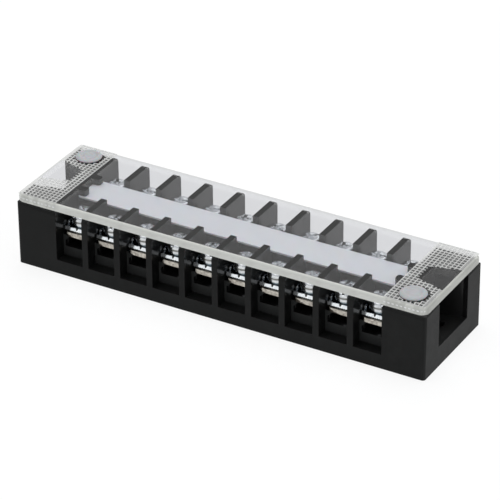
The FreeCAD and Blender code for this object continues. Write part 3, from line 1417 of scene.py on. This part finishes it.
@dataclass
class Terminals:
    """Ten terminal plates, with a clamp plate, spring washer and screw at each end."""

    count: int = 10
    pitch: float = 11.0
    screw_y: float = 9.3
    plate_round: float = 0.14
    seed: int = 7
    screw: Screw = field(default_factory=Screw)
    clamp: Clamp = field(default_factory=Clamp)
    washer: SpringWasher = field(default_factory=SpringWasher)

    def build(self, finishes: Finishes) -> None:
        """Dresses the plates and places the loose pieces of both rows.

        Args:
            finishes: the materials.
        """
        meshes = {"pan_head_screw": self.screw.mesh(), "wire_clamp": self.clamp.mesh(),
                  "spring_washer": self.washer.mesh()}
        numbers = range(1, self.count + 1)
        for number in numbers:
            dress_node(f"terminal_plate_{number:02d}", self.plate_round, 40,
                       finishes.get(PLATE_METAL))
        chance = Random(self.seed)
        for number, row in product(numbers, Row):
            place = ((number - (self.count + 1) / 2) * self.pitch * MM,
                     row.side * self.screw_y * MM, 0)
            turn, split = chance.uniform(0, math.pi), chance.uniform(0, math.tau)
            for name, body, angle, finish, slot in (
                    ("pan_head_screw", Body.SCREW, turn, SCREW_METAL, Slot.SCREW),
                    ("wire_clamp", Body.CLAMP, row.turn, CLAMP_METAL, Slot.CLAMP),
                    ("spring_washer", Body.CLAMP, split, WASHER_METAL, Slot.CLAMP)):
                node = f"{body.value}_{row.value}_{number:02d}"
                thing = placed(f"{name}_{row.value}_{number:02d}", meshes[name])
                thing.location = place
                thing.rotation_euler.z = angle
                dress(thing, finishes.get(finish))
                fixed(thing, node, slot, *([] if name == "spring_washer" else [node]))


# Studio


@dataclass(frozen=True)
class Lamp:
    """Soft square lamp that looks at the object, in metres and watts."""

    name: str
    place: tuple[float, float, float]
    size: float
    power: float
    colour: tuple[float, float, float]

    def build(self) -> None:
        """Adds the lamp to the scene."""
        data = bpy.data.lights.new(self.name, "AREA")
        data.size, data.energy, data.color = self.size, self.power, self.colour
        lamp = placed(self.name, data)
        lamp.location = self.place
        lamp.rotation_euler = (-Vector(self.place)).to_track_quat("-Z", "Y").to_euler()


@dataclass
class Studio:
    """Pale floor, white surroundings, soft lamps and the camera of the photograph."""

    place: tuple[float, float, float] = (384.554, -664.013, 462.977)
    azimuth: float = 29.968
    elevation: float = 30.317
    roll: float = -0.436
    lens: float = 220.3
    daylight: float = 0.66
    sky: Colour = (0.95, 0.97, 1.0, 1)
    floor_half: float = 3.0
    floor_level: float = -0.00005
    floor_lit: Colour = (0.86, 0.86, 0.86, 1)
    floor_seen: Colour = (0.16, 0.16, 0.16, 1)
    floor_glow: float = 0.85
    lamps: tuple[Lamp, ...] = (
        Lamp("overhead", (-0.25, 0.35, 1.1), 1.2, 7.0, (1.0, 0.99, 0.97)),
        Lamp("right_side", (1.0, 0.15, 0.45), 0.6, 2.5, (0.95, 0.97, 1.0)))

    def floor(self) -> None:
        """Matt floor that the camera sees as white, apart from the object's shadow."""
        half = self.floor_half
        mesh = bpy.data.meshes.new("floor")
        corners = level(rectangle(-half, -half, half, half), self.floor_level)
        mesh.from_pydata(corners, [], [(0, 1, 2, 3)])
        floor = placed("studio_floor", mesh)
        surface = Surface("pale_floor")
        seen = self.seen(surface.graph)
        surface.give(Roughness=1.0, Specular_IOR_Level=0.0, Emission_Color=WHITE,
                     Emission_Strength=seen * self.floor_glow,
                     Base_Color=surface.graph.blend(seen, self.floor_lit, self.floor_seen))
        dress(floor, surface.material)

    @staticmethod
    def seen(graph: Graph) -> Signal:
        """Tells rays from the camera, a mirror or glass from the others.

        Args:
            graph: the tree to add to.

        Returns:
            One for such rays, else nought.
        """
        path = graph.add("ShaderNodeLightPath").outputs
        camera, mirror, glass = (Signal(graph, path[f"Is {kind} Ray"])
                                 for kind in ("Camera", "Glossy", "Transmission"))
        return graph.math("MAXIMUM", graph.math("MAXIMUM", camera, mirror), glass)

    def surroundings(self) -> None:
        """World: white where it is seen, softer where it lights."""
        world = bpy.data.worlds.new("studio_world")
        bpy.context.scene.world = world
        world.use_nodes = True
        world.node_tree.nodes.clear()
        graph = Graph(world.node_tree)
        light, white = (graph.value("ShaderNodeBackground", 0, {"Color": tone, "Strength": power})
                        for tone, power in ((self.sky, self.daylight), (WHITE, 1.0)))
        mixed = graph.value("ShaderNodeMixShader", 0, {0: self.seen(graph), 1: light, 2: white})
        graph.add("ShaderNodeOutputWorld", {"Surface": mixed})

    def camera(self) -> None:
        """The camera, at the photograph's angle."""
        data = bpy.data.cameras.new("camera")
        data.lens = self.lens
        data.sensor_width = 36
        data.clip_end = 20
        camera = placed("camera", data)
        turn = (Matrix.Rotation(math.radians(self.azimuth), 4, "Z")
                @ Matrix.Rotation(math.radians(90 - self.elevation), 4, "X")
                @ Matrix.Rotation(math.radians(self.roll), 4, "Z"))
        camera.matrix_world = Matrix.Translation(Vector(self.place) * MM) @ turn
        bpy.context.scene.camera = camera
        bpy.context.scene.view_settings.view_transform = "Standard"

    def build(self) -> None:
        """Sets up the whole studio."""
        self.floor()
        self.surroundings()
        for lamp in self.lamps:
            lamp.build()
        self.camera()
        LOG.info("studio ready")


def main() -> None:
    """Builds the studio and each sub-assembly in order."""
    logging.basicConfig(level=logging.INFO, format="%(name)s: %(message)s")
    finishes = Finishes()
    Studio().build()
    for assembly in (Housing(), LabelStrip(), Terminals(), Cover(), PushRivets()):
        assembly.build(finishes)


if __name__ == "__main__":
    main()
